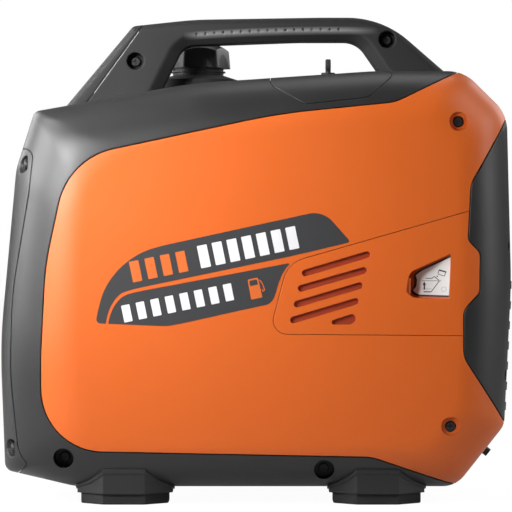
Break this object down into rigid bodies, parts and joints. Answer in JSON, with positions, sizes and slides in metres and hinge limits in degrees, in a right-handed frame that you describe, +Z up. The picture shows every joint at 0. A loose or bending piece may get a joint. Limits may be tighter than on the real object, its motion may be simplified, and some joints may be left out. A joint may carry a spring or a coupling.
{
  "type": "portable inverter generator",
  "caption": "Suitcase-shaped petrol inverter generator with carrying handle, fuel cap, maintenance door, recoil starter, control panel and rubber feet.",
  "frame": {"origin": "middle of the footprint on the ground, under the centre of the case", "axes": "+X to the exhaust end, -X to the control panel, -Y to the service side with the maintenance door, +Y to the starter side, +Z up"},
  "size_m": [0.4801, 0.287, 0.461],
  "materials": {
    "case_plastic": "satin charcoal",
    "orange_plastic": "satin orange",
    "handle_plastic": "fine grain charcoal",
    "cap_plastic": "satin black",
    "tank_plastic": "moulded",
    "panel_plastic": "fine grain",
    "button_plastic": "smooth",
    "lens": "clear",
    "soft_rubber": "matt",
    "screw_steel": "black oxide",
    "brass_fittings": "bright",
    "cast_aluminium": "as cast",
    "plain_steel": "machined",
    "muffler_steel": "heat tinted",
    "winding_copper": "enamelled",
    "coil_plastic": "moulded",
    "rope_cord": "braided",
    "oil_cap_yellow": "smooth"
  },
  "bodies": {
    "case": {"ac_receptacles": "panel_plastic", "air_cleaner": "cap_plastic", "button_bushes": "panel_plastic", "carburettor": "cast_aluminium", "case_half_service": "case_plastic", "case_half_starter": "case_plastic", "case_screws": "screw_steel", "control_panel": "panel_plastic", "cylinder_fins": "cast_aluminium", "dc_outlet": "panel_plastic", "drip_tray": "soft_rubber", "eco_switch_frame": "panel_plastic", "engine_block": "cast_aluminium", "engine_mounts": "soft_rubber", "exhaust_outlet": "plain_steel", "fan_shroud": "tank_plastic", "filler_neck": "tank_plastic", "foot_pods": "case_plastic", "front_bezel": "case_plastic", "fuel_hose": "soft_rubber", "fuel_strainer": "brass_fittings", "fuel_tank": "tank_plastic", "ground_terminal": "brass_fittings", "handle_bolts": "screw_steel", "handle_end_cap": "handle_plastic", "handle_half_service": "handle_plastic", "handle_half_starter": "handle_plastic", "ignition_coil": "coil_plastic", "indicator_lenses": "lens", "inverter_module": "cast_aluminium", "muffler": "muffler_steel", "parallel_jacks": "brass_fittings", "rear_cover": "case_plastic", "recoil_housing": "tank_plastic", "rubber_feet": "soft_rubber", "service_side_panel": "orange_plastic", "spark_plug": "coil_plastic", "starter_recess": "cap_plastic", "starter_side_panel": "orange_plastic", "stator": "winding_copper", "usb_outlet": "panel_plastic", "valve_cover": "cast_aluminium"},
    "door": {"maintenance_door": "orange_plastic", "door_baffle": "orange_plastic"},
    "latch": {"door_latch": "orange_plastic"},
    "plug_cover": {"spark_plug_cover": "case_plastic", "plug_cover_pull": "soft_rubber"},
    "cap_seal": {"fuel_cap_gasket": "soft_rubber"},
    "cap": {"fuel_cap": "cap_plastic"},
    "dial": {"engine_dial": "cap_plastic"},
    "rocker": {"eco_rocker": "button_plastic"},
    "breaker": {"breaker_button": "button_plastic"},
    "reset": {"reset_button": "button_plastic"},
    "crank": {"crankshaft": "plain_steel", "flywheel": "plain_steel", "cooling_fan": "cap_plastic"},
    "grip": {"starter_grip": "cap_plastic", "starter_rope": "rope_cord"},
    "pulley": {"recoil_pulley": "cap_plastic"},
    "oil_cap": {"oil_filler_cap": "oil_cap_yellow"}
  },
  "joints": [
    {"name": "door_lift_off", "type": "slide", "parent": "case", "child": "door", "axis": [0, -1, 0], "range_m": [0, 0.08]},
    {"name": "door_latch_slide", "type": "slide", "parent": "door", "child": "latch", "axis": [-1, 0, 0], "range_m": [0, 0.003], "stiffness_N_per_m": 400},
    {"name": "plug_cover_lift", "type": "slide", "parent": "case", "child": "plug_cover", "axis": [0, 0, 1], "range_m": [0, 0.1]},
    {"name": "cap_lift", "type": "slide", "parent": "case", "child": "cap_seal", "axis": [0, 0, 1], "range_m": [0, 0.06]},
    {"name": "cap_turn", "type": "hinge", "parent": "cap_seal", "child": "cap", "pos_m": [-0.0572, 0.06, 0.43], "axis": [0, 0, 1], "continuous": true},
    {"name": "dial_turn", "type": "hinge", "parent": "case", "child": "dial", "pos_m": [-0.222, 0.045, 0.255], "axis": [-1, 0, 0], "range_deg": [0, 90]},
    {"name": "eco_rocker_tilt", "type": "hinge", "parent": "case", "child": "rocker", "pos_m": [-0.2235, -0.016, 0.238], "axis": [0, 1, 0], "range_deg": [-9, 9]},
    {"name": "breaker_press", "type": "slide", "parent": "case", "child": "breaker", "axis": [1, 0, 0], "range_m": [0, 0.003], "stiffness_N_per_m": 500},
    {"name": "reset_press", "type": "slide", "parent": "case", "child": "reset", "axis": [1, 0, 0], "range_m": [0, 0.003], "stiffness_N_per_m": 500},
    {"name": "crank_spin", "type": "hinge", "parent": "case", "child": "crank", "pos_m": [0, 0.005, 0.15], "axis": [1, 0, 0], "continuous": true},
    {"name": "grip_pull", "type": "slide", "parent": "case", "child": "grip", "axis": [0, 1, 0], "range_m": [0, 0.1], "stiffness_N_per_m": 60},
    {"name": "pulley_spin", "type": "hinge", "parent": "case", "child": "pulley", "pos_m": [-0.115, 0.005, 0.15], "axis": [1, 0, 0], "range_deg": [-210, 0]},
    {"name": "oil_cap_turn", "type": "hinge", "parent": "case", "child": "oil_cap", "pos_m": [0.06, -0.098, 0.176], "axis": [0, -0.8944, 0.4472], "continuous": true}
  ],
  "couplings": [
    {"joint": "pulley_spin", "follows": "grip_pull", "rad_per_m": -35.714}
  ]
}
